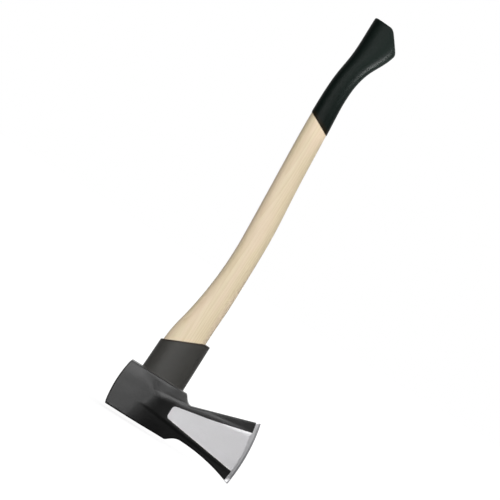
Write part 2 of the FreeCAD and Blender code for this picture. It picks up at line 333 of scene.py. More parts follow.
def bent_line(x, start, bends):
    """Height of a bent line at x. It starts level at the start's height, and each bend
    (x, slope after it, reach of its rounding) adds the change of slope times a ramp."""
    height = np.full_like(x, start, dtype=float)
    slope = 0.0
    for place, after, reach in bends:
        height += (after - slope) * ramp(x - place, reach)
        slope = after
    return height


def rise(value, low, high):
    """0 below low, 1 above high and a smooth S between them."""
    share = np.clip((value - low) / (high - low), 0, 1)
    return share * share * (3 - 2 * share)


def soft_least(a, b, reach):
    """The smaller of two values, with the crossing rounded over the reach."""
    return b - ramp(b - a, reach)


def quarter_round(depth, radius):
    """How far a rounded edge stands back, at a depth below the face that it runs into: nothing at
    a full radius, and the whole radius at the face itself."""
    short = np.clip(radius - depth, 0, radius)
    return radius - np.sqrt(np.maximum(radius ** 2 - short ** 2, 0))


print("a bend of 1 in 1, rounded over 2:", ramp(np.array([-2.0, 0.0, 2.0]), 2.0))

# %% Skins from grids of points
MERGED_BELOW = 0.002  # points closer than this are one point


def mark(mesh, name, values):
    """Writes one number on each point of the mesh, for its material to read."""
    layer = mesh.attributes.new(name, "FLOAT", "POINT")
    layer.data.foreach_set("value", np.asarray(values, np.float32).ravel())


def skin_mesh(name, rows, looped=False, attributes=None):
    """Joins a grid of points, rows by columns by three, into a closed mesh. The columns always
    close on themselves, and the rows do too where looped is true; otherwise each end row lies in
    one point and closes the skin there. Attributes are one number for each point of the grid."""
    grid = np.asarray(rows, float)
    count, around = grid.shape[:2]
    index = np.arange(count * around).reshape(count, around)
    low = index if looped else index[:-1]
    high = np.roll(index, -1, 0) if looped else index[1:]
    quads = np.stack([low, np.roll(low, -1, 1), np.roll(high, -1, 1), high], -1).reshape(-1, 4)
    mesh = bpy.data.meshes.new(name)
    mesh.from_pydata((grid.reshape(-1, 3) * MM).tolist(), [], quads.tolist())
    for key, values in (attributes or {}).items():
        mark(mesh, key, values)
    merged = bmesh.new()
    merged.from_mesh(mesh)
    bmesh.ops.remove_doubles(merged, verts=merged.verts, dist=MERGED_BELOW * MM)
    bmesh.ops.recalc_face_normals(merged, faces=merged.faces)
    merged.to_mesh(mesh)
    open_edges = sum(not edge.is_manifold for edge in merged.edges)
    merged.free()
    print(f"{name}: {len(mesh.polygons)} faces, {open_edges} open edges")
    return mesh


def smooth(mesh, sharp=40.0):
    """Smooth shading, broken only at edges sharper than the angle."""
    mesh.polygons.foreach_set("use_smooth", np.ones(len(mesh.polygons), bool))
    mesh.set_sharp_from_angle(angle=math.radians(sharp))


def skin(name, rows, looped=False, attributes=None):
    """A piece of the tool from a grid of points, riding on the fixed body."""
    mesh = skin_mesh(name, rows, looped, attributes)
    smooth(mesh)
    piece = into_scene(name, mesh)
    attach(piece, "root")
    return piece


def wear(piece, material):
    """Gives the piece its one material."""
    piece.data.materials.clear()
    piece.data.materials.append(material)
    print(piece.name, "wears", material.name)


print("points closer than", MERGED_BELOW, "mm become one")

# %% [markdown]
# ## The head
#
# The head is one forging: a block round the eye with a crowned striking face behind, and a wedge
# blade in front. A forging is soft everywhere, so the skin is a formula: at each point of the
# side view it gives half the thickness. A row starts at the middle of the underside and runs up
# one cheek, over the top and down the other. The rows follow one another from the striking face,
# whose arc bends the first of them, to the edge, whose arc bends the last.

# %% Side lines of the head
HEAD_LENGTH = head_high[0] - head_low[0]
BLOCK_TOP = guard_low[2]
POLL_CORNER = -54.5
EDGE_RADIUS, EDGE_PEAK = 270.0, 31.5
HEEL = np.array([159.3, head_high[2]])
TOE = np.array([164.0, head_low[2]])
NOSE_TOP, THROAT = 42.8, (52.8, 61.1)
NOSE_BOTTOM, HOLLOW = 49.5, (62.7, 10.6)
ARCH = 4.8  # the lower line stands this far above its chord
NOSE_REACH, THROAT_REACH, HOLLOW_REACH = 1.6, 6.2, 7.5  # roundings of the bends


def top_line(x):
    """Flat over the block, down the nose, and up the blade to the heel."""
    fall = (THROAT[1] - BLOCK_TOP) / (THROAT[0] - NOSE_TOP)
    climb = (HEEL[1] - THROAT[1]) / (HEEL[0] - THROAT[0])
    return bent_line(x, BLOCK_TOP, [(NOSE_TOP, fall, NOSE_REACH),
                                    (THROAT[0], climb, THROAT_REACH)])


def low_line(x):
    """Flat under the block, up to the hollow, and along an arch down to the toe. At a share t of
    the way the arch stands 4 t (1 - t) of its full height above the chord."""
    climb = HOLLOW[1] / (HOLLOW[0] - NOSE_BOTTOM)
    span = TOE[0] - HOLLOW[0]
    chord = (TOE[1] - HOLLOW[1]) / span
    along = ramp(x - HOLLOW[0], HOLLOW_REACH) / span
    line = bent_line(x, 0.0, [(NOSE_BOTTOM, climb, NOSE_REACH), (HOLLOW[0], chord, HOLLOW_REACH)])
    return np.maximum(line + 4 * ARCH * along * (1 - along), TOE[1])


def edge_line(z):
    """The cutting edge: one arc in side view."""
    return head_high[0] - EDGE_RADIUS + np.sqrt(EDGE_RADIUS ** 2 - (z - EDGE_PEAK) ** 2)


def poll_line(z):
    """The striking face: a shallow arc behind its corners."""
    from_middle = 2 * z / BLOCK_TOP - 1
    return POLL_CORNER - (POLL_CORNER - head_low[0]) * (1 - from_middle ** 2)


print("lowest point of the throat", round(top_line(np.arange(40, 70, 0.5)).min(), 1))

# %% [markdown]
# ## How thick the head is
#
# Seen from above, the cheeks are parallel beside the eye and then run down to the ground flats,
# which close on the edge. The flats belong to a raised wedge. Along two long ridges the metal
# rolls over and falls away to the lugs of the eye block, and further out to the blade's thinner
# flanges: a soft shoulder above, a tighter one below. At the very edge two bevels take over,
# the bit and the fine honed one.

# %% Cheeks, run and flats
CHEEK = head_high[1]
CHEEK_BACK, POLL_NARROWING = -26.0, 1.0
FLAT_START, FLAT_HALF, FLAT_EDGE_HALF = 34.0, 20.2, 1.5
FLAT_SLOPE = (FLAT_EDGE_HALF - FLAT_HALF) / (head_high[0] - FLAT_START)
TURN_HEIGHTS = (0, 14, 27, 35, 50, 62)  # at these heights up the cheek
TURN_PLACES = (18, 16, 3, 6, 10, 8)  # it turns to the flats this far forward


def wedge_half(x, z):
    """Half thickness without shoulders: the cheek, less a little towards the poll and a slight
    crown, and from the turn a straight run down to the flats. The turn lies furthest back near
    the lower shoulder, and furthest forward on the lower lug."""
    turn = np.interp(z, TURN_HEIGHTS, TURN_PLACES)
    lug = rise(z, 48, 62) + rise(-z, -28, -14)
    reach = 9 + 8 * lug
    run = (FLAT_HALF - CHEEK) / (FLAT_START - turn)
    narrowing = POLL_NARROWING / (CHEEK_BACK - POLL_CORNER) * ramp(CHEEK_BACK - x, 14.0)
    crown = 0.5 * (z / BLOCK_TOP - 0.6) ** 2 + 0.07 * ramp(z - 60, 6.0) + 0.12 * ramp(z - 71, 1.5)
    down = run * ramp(x - turn, reach) + (FLAT_SLOPE - run) * ramp(x - FLAT_START, 2 + 9 * lug)
    return CHEEK - narrowing - crown * rise(-x, -FLAT_START, 0) + down


print("half thickness at the edge before the bevels",
      wedge_half(np.array([head_high[0]]), np.array([EDGE_PEAK])).round(2))

# %% Shoulders and bevels
HONE_WIDTH, HONE_ANGLE, BIT_ANGLE = 2.7, 24.0, 17.0
UPPER_TILT, LOWER_TILT = 0.4, 0.62
THINNEST = 0.6  # half thickness of the flanges where they run out


def slope(degrees):
    """The rise for each millimetre along, at an angle."""
    return math.tan(math.radians(degrees))


def upper_ridge(x):
    """Height of the wedge's upper shoulder: it climbs to the throat, runs along the blade's top
    and then closes on the corner of the flats."""
    return 55.0 + bent_line(x, 0.0, [(-7, 0.11, 0.1), (44, 0.2, 8.0), (84, 0.13, 12.0)])


def lower_ridge(x):
    """Height of the wedge's lower shoulder: it falls to the front, a little faster on the blade."""
    return 29.0 - bent_line(x, 0.0, [(-7, 0.088, 0.1), (35, 0.122, 8.0)])


def half_thickness(x, z):
    """The raised wedge less the fall of its two shoulders and of what lies beyond them, and never
    more than the bevels leave at this distance from the edge."""
    fading = np.interp(x, (34, 100, 160), (1.0, 0.85, 0.3))
    up, down = z - upper_ridge(x), lower_ridge(x) - z
    upper = UPPER_TILT * (ramp(up + 4.0, 4.0) - ramp(up - 1.0, 1.5)) * rise(x, -12, 24) * fading
    beyond = 0.22 * rise(x, -30, 20) - 0.12 * rise(x, 44, 70) - 0.1 * rise(x, 90, 160)
    upper += beyond * ramp(up - 1.5, 3.5)
    lower = LOWER_TILT * (ramp(down + 0.5, 1.5) - ramp(down - 3.0, 1.5)) * rise(x, -18, 26) * fading
    beyond = 0.26 * rise(x, -20, 42) - 0.12 * rise(x, 50, 150)
    lower += beyond * ramp(down - 2.5, 2.0)
    body = np.maximum(wedge_half(x, z) - upper - lower, THINNEST)
    from_edge = np.maximum(edge_line(z) - x, 0)
    hone = from_edge * slope(HONE_ANGLE)
    bit = HONE_WIDTH * slope(HONE_ANGLE) + (from_edge - HONE_WIDTH) * slope(BIT_ANGLE)
    return np.minimum(body, np.minimum(hone, bit))


print("lug of the nose", half_thickness(np.array([NOSE_TOP]), np.array([BLOCK_TOP])).round(1))

# %% [markdown]
# ## From thickness to skin
#
# The share t runs up the cheek from 0 at the underside to 1 at the top, and is packed closely at
# both ends, where the edges are rounded. Behind, the section shrinks by a quarter round as it
# nears the striking face and then closes on the middle of that face. In front, the last row has
# no thickness, so the two sides meet on the cutting edge.

# %% Head skin
CHEEK_ROWS, FACE_ROWS = 130, 14
RIM_RADIUS, TOP_RIM_RADIUS, POLL_RADIUS = 2.4, 1.2, 2.2


def head_stations():
    """Shares of the way from the striking face to the edge, packed where the form is fine."""
    near_face = POLL_RADIUS * (1 - np.cos(np.linspace(0, math.pi / 2, 9)))
    body = np.linspace(POLL_RADIUS + 1.0, 212.0, 220)
    near_edge = np.linspace(212.8, 224.5, 36)
    return np.concatenate([near_face, body, near_edge, [HEAD_LENGTH]]) / HEAD_LENGTH


def head_section(share, shrink):
    """One row of the grid: points round the head at a share of its length. The section is drawn
    in by shrink on all sides, as behind the rounded edges of the striking face."""
    t = (1 - np.cos(np.linspace(0, math.pi, CHEEK_ROWS))) / 2
    z_front = TOE[1] + (HEEL[1] - TOE[1]) * t
    x_back, x_front = poll_line(BLOCK_TOP * t), edge_line(z_front)
    x = x_back + (x_front - x_back) * share
    bottom, top = low_line(x) + shrink, top_line(x) - shrink
    z = bottom + (top - bottom) * t
    half = half_thickness(x, z)
    radius = np.minimum(RIM_RADIUS, 0.6 * half)
    over_blade = rise(x, 40, 60)
    top_radius = np.minimum(radius, TOP_RIM_RADIUS + (RIM_RADIUS - TOP_RIM_RADIUS) * over_blade)
    rounded = half - quarter_round(z - bottom, radius) - quarter_round(top - z, top_radius)
    y = np.maximum(rounded - shrink, 0) * (share < 1)
    inward = np.array([0.85, 0.6, 0.3, 0.0])
    over = [(x[-1], y[-1] * q, z[-1]) for q in inward]
    under = [(x[0], y[0] * q, z[0]) for q in inward[::-1]]
    cheek = np.stack([x, y, z], -1)
    half_loop = np.concatenate([under, cheek, over])
    other = half_loop[::-1][1:-1] * (1, -1, 1)
    return np.concatenate([half_loop, other])


def head_grid():
    """All rows of the head: rings that shrink to the middle of the striking face, and then the
    sections up to the edge."""
    stations = head_stations()
    shrinks = quarter_round(stations * HEAD_LENGTH, POLL_RADIUS)
    rows = [head_section(s, k) for s, k in zip(stations, shrinks)]
    face = rows[0]
    centre = np.array([0, 0, BLOCK_TOP / 2])
    closing = []
    for q in np.linspace(0, 1, FACE_ROWS, endpoint=False):
        ring = centre + (face - centre) * q
        ring[:, 0] = poll_line(ring[:, 2])
        closing.append(ring)
    return np.array(closing + rows)


head_points = head_grid()
print("head grid", head_points.shape)

# %% [markdown]
# ## Where the paint ends
#
# The flats and the edge are ground bare through the paint. The border is crisp, but the grid is
# too coarse to carry it as a colour, so each point carries its signed distance to the border
# instead: that distance is a smooth field, and the shader cuts it at zero.

# %% Ground area of the head
PANEL_BACK, PANEL_CORNER = 34.9, 4.5
BARE_BIT = 7.0  # the paint ends this far from the edge


def ground_field(points):
    """Millimetres inside the bare steel, negative on the paint: the panel is what lies in front
    of its rear end and between its two borders, with rounded corners, and the bit joins it."""
    x, z = points[..., 0], points[..., 2]
    upper = np.interp(x, (36, 96, 156, 170), (50.3, 62.2, 77.3, 80.9)) - z
    lower = z - np.interp(x, (36, 156, 170), (30.0, 13.0, 11.0))
    from_back = x - PANEL_BACK
    near = np.minimum(upper, lower)
    a, b = PANEL_CORNER - from_back, PANEL_CORNER - near
    corner = PANEL_CORNER - np.hypot(np.maximum(a, 0), np.maximum(b, 0))
    panel = np.where((a > 0) & (b > 0), corner, np.minimum(from_back, near))
    bit = BARE_BIT - (edge_line(z) - x)
    return np.maximum(panel, bit)


def edge_field(points):
    """Millimetres behind the cutting edge."""
    return edge_line(points[..., 2]) - points[..., 0]


head = skin("head_forging", head_points)
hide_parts("head")

# %% [markdown]
# ## Paint and ground steel
#
# The paint is a dark satin coat over a forged skin, so its relief is two noises: broad low waves
# of the forging and the fine grain of the paint. The ground steel has fine lines along the blade.
# One Principled shader carries both, and the signed distance mixes them.

# %% Head material
def make_head_material():
    """Satin paint where the ground field is negative, steel where it is positive, and a darker
    honed strip. Bumps carry the forging, the grain, the grinding and the paint's edge."""
    shader = Shader("painted forging")
    grain = shader.noise(shader.place(), 0.9, detail=3.0)
    waves = shader.noise(shader.place(), 0.06)
    wobble = shader.math("MULTIPLY", shader.math("SUBTRACT", grain, 0.5), 0.5)
    inside = shader.math("ADD", shader.attribute("ground"), wobble)
    bare = shader.step(inside, -0.12, 0.12)
    lines = shader.noise(shader.place(scale=(0.05, 1.0, 1.6)), 2.2, detail=3.0, roughness=0.65)
    honed = shader.step(shader.attribute("from_edge"), HONE_WIDTH - 0.2, HONE_WIDTH + 0.2, 1.0, 0.0)
    paint = shader.blend(waves, rgb(14, 14, 14), rgb(18, 18, 18))
    steel = shader.blend(lines, rgb(230, 229, 231), rgb(243, 242, 244))
    steel = shader.blend(honed, steel, rgb(204, 204, 207))
    colour = shader.blend(bare, paint, steel)
    paint_rough = shader.step(grain, 0.3, 0.7, 0.36, 0.43)
    steel_rough = shader.step(lines, 0.3, 0.7, 0.42, 0.5)
    rough = shader.add("ShaderNodeMix", i0=bare, i2=paint_rough, i3=steel_rough).outputs[0]
    relief = shader.bump(waves, 0.5, 0.5)
    relief = shader.bump(shader.math("MULTIPLY", grain, shader.math("SUBTRACT", 1.0, bare)),
                         0.04, 0.6, under=relief)
    relief = shader.bump(shader.math("MULTIPLY", lines, bare), 0.01, 0.5, under=relief)
    relief = shader.bump(shader.math("SUBTRACT", 1.0, bare), 0.12, 1.0, under=relief)
    return shader.finish(Base_Color=colour, Metallic=bare, Roughness=rough, Normal=relief)


wear(head, make_head_material())

# %% [markdown]
# ## Sections of the handle
#
# The handle swings gently and swells to a knob. Its CAD solid is ruled between level ovals, so
# the corners of its mesh lie in rings. Each ring gives the back, front and half thickness at its
# height, and a smooth curve through those values gives any section between them. The slanted
# facet of the knob cuts the last rings short, so the knob's whole section stands in for them.

# %% Handle sections from the frame
OVAL_FULLNESS = 2.35  # 2 is an ellipse, more is squarer
AROUND = 112
TURN = np.linspace(0, 2 * math.pi, AROUND, endpoint=False)


def corners_mm(mesh):
    """The corners of a mesh as rows of x, y and z in millimetres."""
    corners = np.empty(len(mesh.vertices) * 3, np.float32)
    mesh.vertices.foreach_get("co", corners)
    return corners.reshape(-1, 3).astype(float) / MM


def level_rings(node, least=24):
    """Height, back, front and half thickness of each level ring of corners in a CAD node."""
    corners = corners_mm(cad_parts[node].data)
    levels, members = np.unique(corners[:, 2].round(2), return_inverse=True)
    counts = np.bincount(members)
    found = []
    for level in np.flatnonzero(counts >= least):
        ring = corners[members == level]
        found.append((levels[level], ring[:, 0].min(), ring[:, 0].max(), ring[:, 1].max()))
    return np.array(found)


FACET_FOOT = 666.0  # above this height the facet cuts the rings short
KNOB_SECTION = np.array([681.9, -17.0, 37.4, 15.4])  # height, back, front, half thickness

rings = level_rings("handle")
whole = (rings[:, 0] >= BLOCK_TOP - 0.01) & (rings[:, 0] < FACET_FOOT) & (rings[:, 3] > 10)
rings = np.vstack([rings[whole], KNOB_SECTION])
print(len(rings), "rings from", rings[0].round(1), "to", rings[-1].round(1))


def section_at(z):
    """Back, front and half thickness at the heights z: a cubic through the four nearest rings."""
    heights = rings[:, 0]
    z = np.asarray(z, float)
    k = np.clip(np.searchsorted(heights, z) - 1, 0, len(heights) - 2)
    h = heights[k + 1] - heights[k]
    t = np.clip((z - heights[k]) / h, 0, 1)
    tangents = np.gradient(rings[:, 1:], heights, axis=0)
    a, b = rings[k, 1:], rings[k + 1, 1:]
    m, n = tangents[k] * h[..., None], tangents[k + 1] * h[..., None]
    t = t[..., None]
    return ((2 * t ** 3 - 3 * t ** 2 + 1) * a + (t ** 3 - 2 * t ** 2 + t) * m
            + (3 * t ** 2 - 2 * t ** 3) * b + (t ** 3 - t ** 2) * n)


def oval(back, front, half):
    """A superellipse: points with |x/a|^n + |y/b|^n = 1, for n of the fullness. Each size is one
    number, or one for each column, and then column j takes its j-th oval's point."""
    power = 2 / OVAL_FULLNESS
    c, s = np.cos(TURN), np.sin(TURN)
    x = (front + back) / 2 + (front - back) / 2 * np.sign(c) * np.abs(c) ** power
    return np.stack([x, half * np.sign(s) * np.abs(s) ** power], -1)


def oval_lines(sizes, grow=0.0):
    """Points of the ovals with these backs, fronts and half thicknesses, all larger by grow."""
    return oval(sizes[:, 0] - grow, sizes[:, 1] + grow, sizes[:, 2] + grow)


def at_level(flat, z):
    """Flat points lifted to one height, or to a height each."""
    return np.column_stack([flat, np.broadcast_to(z, len(flat))])


print("section at mid height", section_at(np.array([350.0])).round(1))

# %% [markdown]
# ## Handle and dipped coat
#
# Handle and coat share one form, the coat being the same form 0.8 mm larger. Every line of the
# grid that runs along the handle ends on the sloping end of the knob: the end plane and the
# slanted facet meet in a soft ridge, and each line turns over the rim along a short parabola
# before it runs in to the middle of the end.

# %% The knob's end
HANDLE_LENGTH = 698.7
END_FALL, FACET_TOP, FACET_FALL = 3.8, 11.9, 52.3  # degrees, x of the facet's top, degrees
KNOB_RADIUS, RIDGE_REACH = 3.0, 6.0
COAT = 0.8
KNOB_FOOT = 640.0  # the lines start to lean towards the knob's end here
SHAFT_ROWS, TURN_ROWS, END_ROWS = 46, 9, 24
MEETING_STEPS = 30  # each step brings a line's meeting with the end closer
END_MIDDLE = np.array([6.0, 0.0])


def knob_end(x, grow):
    """Height of the knob's end above each x: the gentle end plane or the steep facet, whichever is
    lower, with their meeting rounded."""
    end = HANDLE_LENGTH + grow - (x - KNOB_SECTION[1]) * slope(END_FALL)
    lift = grow / math.cos(math.radians(FACET_FALL))
    facet = HANDLE_LENGTH + lift - (x - FACET_TOP) * slope(FACET_FALL)
    return soft_least(end, facet, RIDGE_REACH)


def on_end(flat, grow):
    """Flat points lifted onto the knob's end."""
    return at_level(flat, knob_end(flat[:, 0], grow))


def at_heights(z, grow):
    """A row of the form in which each column has its own height."""
    return at_level(oval_lines(section_at(z), grow), z)


def knob_rows(grow, radius):
    """Rows from the knob's foot up to the closed end. Each line climbs in equal shares to just
    below its meeting with the end, turns over the rim along a parabola, and runs in to the
    middle."""
    meet = np.full(AROUND, HANDLE_LENGTH)
    for _ in range(MEETING_STEPS):
        meet = knob_end(oval_lines(section_at(meet), grow)[:, 0], grow)
    corner, foot = at_heights(meet, grow), at_heights(meet - radius, grow)
    inner = on_end(oval_lines(section_at(meet), grow - radius), grow)
    rows = [at_heights(KNOB_FOOT + (foot[:, 2] - KNOB_FOOT) * share, grow)
            for share in np.linspace(0, 1, SHAFT_ROWS)]
    rows += [(1 - t) ** 2 * foot + 2 * t * (1 - t) * corner + t ** 2 * inner
             for t in np.linspace(0, 1, TURN_ROWS)[1:]]
    rows += [on_end(END_MIDDLE + (inner[:, :2] - END_MIDDLE) * q, grow)
             for q in np.linspace(1, 0, END_ROWS)[1:]]
    return rows


print("the toe of the knob ends at", knob_end(np.array([36.0]), 0.0).round(1))

# %% [markdown]
# ## The wooden handle
#
# Below, the handle ends as a tenon in the eye, and its end grain shows under the head with the
# steel ring let into it. The grid starts in the middle of that end, steps down into the ring's
# groove, turns up the eye's wall, and runs on as the shaft.

# %% Handle skin
EYE_BOTTOM, EYE_TOP = np.array([33.0, 15.5]), np.array([30.5, 14.0])
RING_OUT, RING_IN = 11.0, 7.8
GROOVE_DEPTH, END_LEVEL = 0.9, 0.08
END_CHAMFER = 0.35  # the end grain stops this far inside the eye
WALL_GAP, WALL_FOOT = 0.05, 0.4  # the tenon's wall clears the eye, and begins at this height


def circle(radius):
    """Points of a circle, with the same columns as the ovals."""
    return radius * np.stack([np.cos(TURN), np.sin(TURN)], -1)


def eye_oval(share, inset=0.0):
    """The eye's oval at a share of the way up through the head, drawn in by the inset."""
    length, width = EYE_BOTTOM + (EYE_TOP - EYE_BOTTOM) * share - inset
    return oval(-length, length, width)


def tenon_rows():
    """The end grain with the ring's groove, then the wall of the tenon up through the eye."""
    rows = [at_level(circle(RING_IN * q), END_LEVEL) for q in np.linspace(0, 1, 8)]
    rows += [at_level(circle(r), GROOVE_DEPTH) for r in (RING_IN, RING_OUT)]
    rows.append(at_level(circle(RING_OUT), END_LEVEL))
    outer = eye_oval(0.0, END_CHAMFER)
    rows += [at_level(circle(RING_OUT) * (1 - q) + outer * q, END_LEVEL)
             for q in np.linspace(0, 1, 8)[1:]]
    rows += [at_level(eye_oval(q, WALL_GAP), WALL_FOOT + (BLOCK_TOP - WALL_FOOT) * q)
             for q in np.linspace(0, 1, 12)]
    return rows


RIM_SLOPE, RIM_HEIGHT, CREST = 23.9, 139.8, guard_high[2]
DIP_SLOPE, DIP_HEIGHT = 27.2, 517.5


def guard_rim(x):
    """Height of the guard's rim: a slope to the front that ends in a flat crest."""
    return soft_least(RIM_HEIGHT + x * slope(RIM_SLOPE), np.full_like(x, CREST), 1.5)


def dip_line(x):
    """Height at which the coat begins: a slope that falls to the front."""
    return DIP_HEIGHT - x * slope(DIP_SLOPE)


def shaft_rows():
    """Level ovals up the shaft, close together where the guard's rim and the dip line cross it."""
    stops = ((78.0, 4.0), (120.0, 0.8), (156.0, 3.0), (500.0, 0.8), (534.0, 3.0), (KNOB_FOOT, 3.0))
    z = np.concatenate([np.arange(a, b, step) for (a, step), (b, _) in zip(stops, stops[1:])])
    return [at_level(oval(*sizes), height) for height, sizes in zip(z, section_at(z))]


handle_points = np.array(tenon_rows() + shaft_rows() + knob_rows(0.0, KNOB_RADIUS))
above_guard = handle_points[..., 2] - guard_rim(handle_points[..., 0])
below_coat = dip_line(handle_points[..., 0]) - handle_points[..., 2]
handle = skin("wooden_handle", handle_points,
              attributes={"above_guard": above_guard, "below_coat": below_coat})
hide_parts("handle")

# %% [markdown]
# ## The eye
#
# The tenon runs right through the head. A grid has no place for a hole, so the head's skin is cut
# by the tapered oval of the eye. The cut makes new corners, and the two fields of the head, the
# distance to the ground area and the distance to the edge, are worked out on all of them.

# %% The eye through the head
CUT_BEYOND = 2.0  # the cutter reaches this far past the head's faces


def cut_eye(piece):
    """Takes the eye out of the head, and writes the head's fields on its new mesh."""
    ends = (-CUT_BEYOND, BLOCK_TOP + CUT_BEYOND)
    low, high = [at_level(eye_oval(z / BLOCK_TOP), z) for z in ends]
    poles = [at_level(circle(0.0), z) for z in ends]
    cutter = into_scene("eye", skin_mesh("eye", [poles[0], low, high, poles[1]]))
    cut = piece.modifiers.new("eye", "BOOLEAN")
    cut.operation, cut.solver, cut.object = "DIFFERENCE", "EXACT", cutter
    result = piece.evaluated_get(bpy.context.evaluated_depsgraph_get())
    mesh = bpy.data.meshes.new_from_object(result)
    piece.modifiers.remove(cut)
    bpy.data.objects.remove(cutter)
    piece.data = mesh
    corners = corners_mm(mesh)
    mark(mesh, "ground", ground_field(corners))
    mark(mesh, "from_edge", edge_field(corners))
    smooth(mesh, sharp=60.0)
    print("head after the cut:", len(mesh.polygons), "faces")


cut_eye(head)

# %% [markdown]
# ## Wood
#
# The handle is split from a pale, straight-grained hardwood. A tree grows in rings round its
# pith, so the pattern is a solid one: rings round an axis that lies well outside the handle and
# leans a little, which gives long lines on the sides and short arcs on the end grain. Fine
# fibres and pores are noises stretched along the handle.

# %% Wood material
def make_wood(name, early, late, tint, pith=(30.0, 74.0), lean=(0.006, -0.01)):
    """Rings round a wandering pith, broad clouds of a warmer tint, long fibres, and pores."""
    shader = Shader(name)

    def stretched(along, scale, **more):
        return shader.noise(shader.place(scale=(1.0, 1.0, along)), scale, **more)

    trunk = shader.place(location=(pith[0], pith[1], 0.0), rotation=(lean[0], lean[1], 0.0))
    drift = stretched(0.06, 0.05)
    parts = shader.add("ShaderNodeSeparateXYZ", Vector=trunk)
    across = shader.add("ShaderNodeCombineXYZ", X=parts.outputs[0], Y=parts.outputs[1])
    radius = shader.add("ShaderNodeVectorMath", {"operation": "LENGTH"},
                        i0=across.outputs[0]).outputs["Value"]
    wandering = shader.math("ADD", radius, shader.math("MULTIPLY", drift, 9.0))
    phase = shader.math("FRACT", shader.math("DIVIDE", wandering, 2.6))
    ring = shader.math("MULTIPLY", shader.step(phase, 0.35, 0.9), shader.step(phase, 1.0, 0.93))
    fibre = stretched(0.012, 2.6, detail=4.0, roughness=0.6)
    pores = shader.step(stretched(0.05, 4.0, detail=1.0), 0.66, 0.74)
    broad = stretched(0.14, 0.07)
    colour = shader.blend(shader.math("MULTIPLY", ring, 0.45), early, late)
    colour = shader.blend(shader.step(broad, 0.4, 0.62, 0.0, 0.6), colour, tint)
    colour = shader.blend(shader.step(fibre, 0.3, 0.75, 0.0, 0.35), colour, late)
    colour = shader.blend(shader.math("MULTIPLY", pores, 0.3), colour, late)
    relief = shader.bump(fibre, 0.05, 0.35)
    relief = shader.bump(shader.math("SUBTRACT", 1.0, pores), 0.04, 0.4, under=relief)
    return shader, colour, relief


def make_handle_material():
    """Pale wood, with painted shade as a thin brown line where the guard and the coat begin. The
    line at the guard fades towards the low rear end of the rim."""
    shader, colour, relief = make_wood("pale hardwood", rgb(233, 217, 186), rgb(212, 190, 150),
                                       rgb(236, 214, 190))
    # painted shade: a thin brown line on the wood where the guard's rim and the coat's lip meet it,
    # fading towards the rim's rear end
    above_guard = shader.attribute("above_guard")
    at_guard = shader.math("MULTIPLY", shader.step(above_guard, 0.1, 1.1, 1.0, 0.0),
                           shader.step(above_guard, -6.0, -3.0))
    along_rim = shader.add("ShaderNodeSeparateXYZ", Vector=shader.place()).outputs["X"]
    at_guard = shader.math("MULTIPLY", at_guard, shader.step(along_rim, -27.0, -12.0, 0.15, 1.0))
    at_coat = shader.step(shader.attribute("below_coat"), 0.2, 1.3, 1.0, 0.0)
    joint_shade = shader.math("MULTIPLY", shader.math("MAXIMUM", at_guard, at_coat), 0.85)
    colour = shader.blend(joint_shade, colour, rgb(88, 62, 38))
    return shader.finish(Base_Color=colour, Roughness=0.48, Normal=relief)


wear(handle, make_handle_material())

# %% [markdown]
# ## The dipped coat
#
# The grip is dipped at an angle into a thick black lacquer and hung up to dry, which leaves a
# thin skin with a soft lip along a slanted line. The skin is a closed shell: up the outside,
# over the knob and back down just inside the wood's surface, joined by the rounded lip.

# %% Coat skin
COAT_ROWS = 60
PACKING = 1.15  # above 1 the rows lie closer together near the dip line
INNER_WALL, INNER_LIFT = -0.1, 0.3  # the inner wall lies in the wood and ends above the line


def dip_section():
    """Sizes of the handle at the dip line, for each column."""
    return section_at(dip_line(oval(*section_at(DIP_HEIGHT))[:, 0]))


def coat_side(grow, lift):
    """Rows from the dip line, raised by lift, up to the level where the knob's rows begin."""
    foot = dip_line(oval_lines(dip_section(), grow)[:, 0]) + lift
    shares = np.linspace(0, 1, COAT_ROWS)[:-1] ** PACKING
    return [at_heights(foot + (KNOB_FOOT - foot) * share, grow) for share in shares]


def coat_grid():
    """Inner rows from the knob down, the lip as a quarter round, and outer rows up again."""
    outer = coat_side(COAT, COAT) + knob_rows(COAT, KNOB_RADIUS + COAT)
    inner = coat_side(INNER_WALL, INNER_LIFT) + knob_rows(INNER_WALL, KNOB_RADIUS)
    lip = []
    for turn in np.linspace(0, math.pi / 2, 7)[:-1]:
        line = oval_lines(dip_section(), COAT * math.sin(turn))
        lip.append(at_level(line, dip_line(line[:, 0]) + COAT * (1 - math.cos(turn))))
    return np.array(inner[::-1] + lip + outer)


coat_points = coat_grid()
coat = skin("grip_coat", coat_points,
            attributes={"above_dip": coat_points[..., 2] - dip_line(coat_points[..., 0])})
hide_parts("grip_coating")

# %% Coat material
def make_coat_material():
    """A satin lacquer, near black with a green cast and the slight orange peel of a dip."""
    shader = Shader("dipped lacquer")
    peel = shader.noise(shader.place(), 0.35)
    fine = shader.noise(shader.place(), 2.5)
    colour = shader.blend(peel, rgb(7, 15, 12), rgb(13, 22, 19))
    dregs = shader.step(shader.attribute("above_dip"), 1.0, 9.0, 0.8, 0.0)
    colour = shader.blend(dregs, colour, rgb(30, 23, 10))
    relief = shader.bump(peel, 0.12, 0.4)
    relief = shader.bump(fine, 0.015, 0.4, under=relief)
    rough = shader.step(fine, 0.3, 0.7, 0.4, 0.48)
    return shader.finish(Base_Color=colour, Roughness=rough, Specular_IOR_Level=0.1, Normal=relief)


wear(coat, make_coat_material())

# %% [markdown]
# ## The overstrike guard
#
# A sleeve of tough black plastic takes the blows that miss the wedge. Its rim slopes up to the
# front and ends in a short flat crest. The skin runs up the outside, over the rounded rim, down
# the inside along the handle, and back along the foot, so rows and columns both close.

